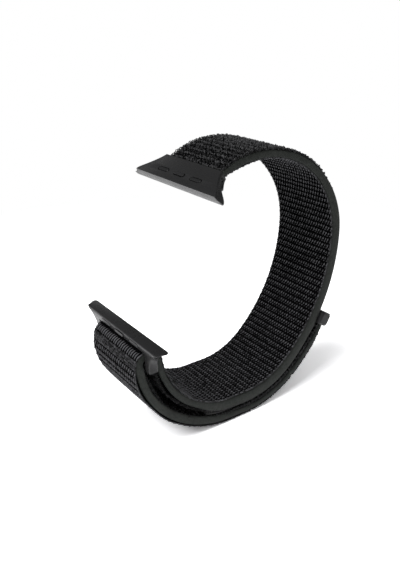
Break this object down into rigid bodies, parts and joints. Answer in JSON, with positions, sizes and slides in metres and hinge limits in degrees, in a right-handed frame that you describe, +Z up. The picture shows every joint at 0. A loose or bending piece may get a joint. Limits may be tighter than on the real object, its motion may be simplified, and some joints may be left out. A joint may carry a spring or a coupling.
{
  "type": "hook and loop watch strap",
  "caption": "Woven hook and loop watch strap closed into its ring, with a slide-in lug at each end, a folded-back tail and a stopper tab.",
  "frame": {"origin": "centre of the underside, on the flat foot's plane, midway across the band and midway between the ring's leftmost and rightmost points", "axes": "+Z up, +Y across the band's width, +X from the open side between the two lugs towards the closed side of the ring"},
  "size_m": [0.069, 0.0378, 0.0768],
  "materials": {
    "woven_skin": "black woven face, rows of short floats across the width",
    "loop_pile": "black looped pile, dull",
    "edge_binding": "dark grey woven edge with fine ribs across it",
    "hook_tape": "stiff black tape covered in short hooks",
    "tab_plastic": "dark grey, moulded, satin",
    "lug_metal": "dark grey anodised, satin",
    "steel": "ground",
    "pad_rubber": "dull black"
  },
  "bodies": {
    "band": {"band_skin_layer": "woven_skin", "band_pile_layer": "loop_pile", "band_near_binding": "edge_binding", "band_far_binding": "edge_binding", "band_hook_patch": "hook_tape", "band_end_sleeve": "loop_pile"},
    "upper_lug": {"upper_lug_body": "lug_metal", "upper_lug_pin": "steel", "upper_pad_near": "pad_rubber", "upper_pad_far": "pad_rubber", "upper_latch_spring": "steel"},
    "upper_latch": {"upper_latch": "lug_metal"},
    "lower_lug": {"lower_lug_body": "lug_metal", "lower_lug_bar": "steel", "lower_pad_near": "pad_rubber", "lower_pad_far": "pad_rubber", "lower_latch_spring": "steel"},
    "lower_latch": {"lower_latch": "lug_metal"},
    "tail": {"tail_skin_layer": "woven_skin", "tail_pile_layer": "loop_pile", "tail_near_binding": "edge_binding", "tail_far_binding": "edge_binding", "tail_hook_patch": "hook_tape"},
    "tip": {"tip_skin_layer": "woven_skin", "tip_pile_layer": "loop_pile", "tip_near_binding": "edge_binding", "tip_far_binding": "edge_binding", "tip_hook_patch": "hook_tape", "end_tab": "tab_plastic"}
  },
  "joints": [
    {"name": "upper_lug_swivel", "type": "hinge", "parent": "band", "child": "upper_lug", "pos_m": [-0.01001, 0, 0.07087], "axis": [0, 1, 0], "range_deg": [-4, 4]},
    {"name": "upper_latch_press", "type": "slide", "parent": "upper_lug", "child": "upper_latch", "axis": [0.5299, 0, -0.848], "range_m": [0, 0.0003], "stiffness_N_per_m": 1500, "deforming": ["upper_latch_spring"]},
    {"name": "lower_lug_swivel", "type": "hinge", "parent": "band", "child": "lower_lug", "pos_m": [-0.03062, 0, 0.02736], "axis": [0, 1, 0], "range_deg": [-20, 20]},
    {"name": "lower_latch_press", "type": "slide", "parent": "lower_lug", "child": "lower_latch", "axis": [0.9945, 0, 0.1045], "range_m": [0, 0.0003], "stiffness_N_per_m": 1500, "deforming": ["lower_latch_spring"]},
    {"name": "tail_peel", "type": "hinge", "parent": "band", "child": "tail", "pos_m": [0.0095, 0, 0.00116], "axis": [0, 1, 0], "range_deg": [0, 35]},
    {"name": "tip_peel", "type": "hinge", "parent": "tail", "child": "tip", "pos_m": [0.02425, 0, 0.0108], "axis": [0, 1, 0], "range_deg": [0, 45]}
  ]
}
